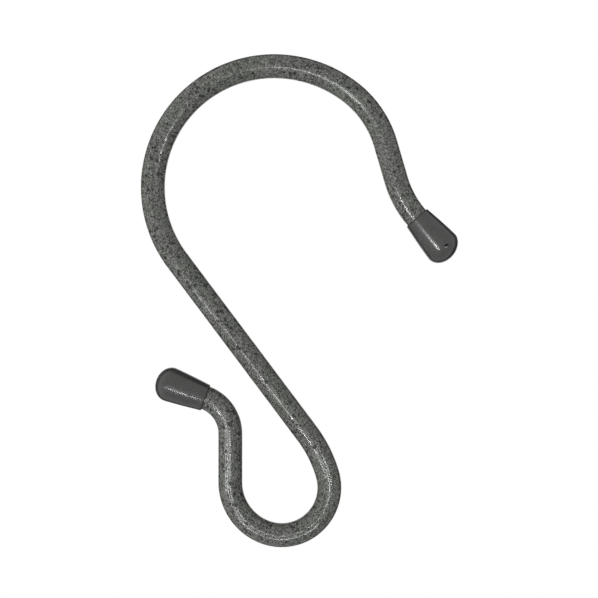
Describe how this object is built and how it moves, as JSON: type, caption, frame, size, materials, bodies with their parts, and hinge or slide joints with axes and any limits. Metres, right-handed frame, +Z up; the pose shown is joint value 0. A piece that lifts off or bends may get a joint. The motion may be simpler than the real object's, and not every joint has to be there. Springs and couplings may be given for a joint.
{
  "type": "s hook",
  "caption": "S hook of bent round steel rod with a wide upper loop, a small lower loop and a flared slip-on end cap on each tip.",
  "frame": {"origin": "the inside of the upper loop's crown, on the hook's middle plane, where the hook hangs on a bar", "axes": "+Z up along the hook as it hangs, +X towards the open side of the upper loop, +Y across the rod"},
  "size_m": [0.0819, 0.0092, 0.1273],
  "materials": {
    "rod_coat": "semi-gloss, fine hammered grey powder coat with dark specks",
    "end_cap": "semi-gloss smooth moulded vinyl, dark grey"
  },
  "bodies": {
    "root": {"hook_rod": "rod_coat", "upper_end_cap": "end_cap", "lower_end_cap": "end_cap"}
  },
  "joints": []
}
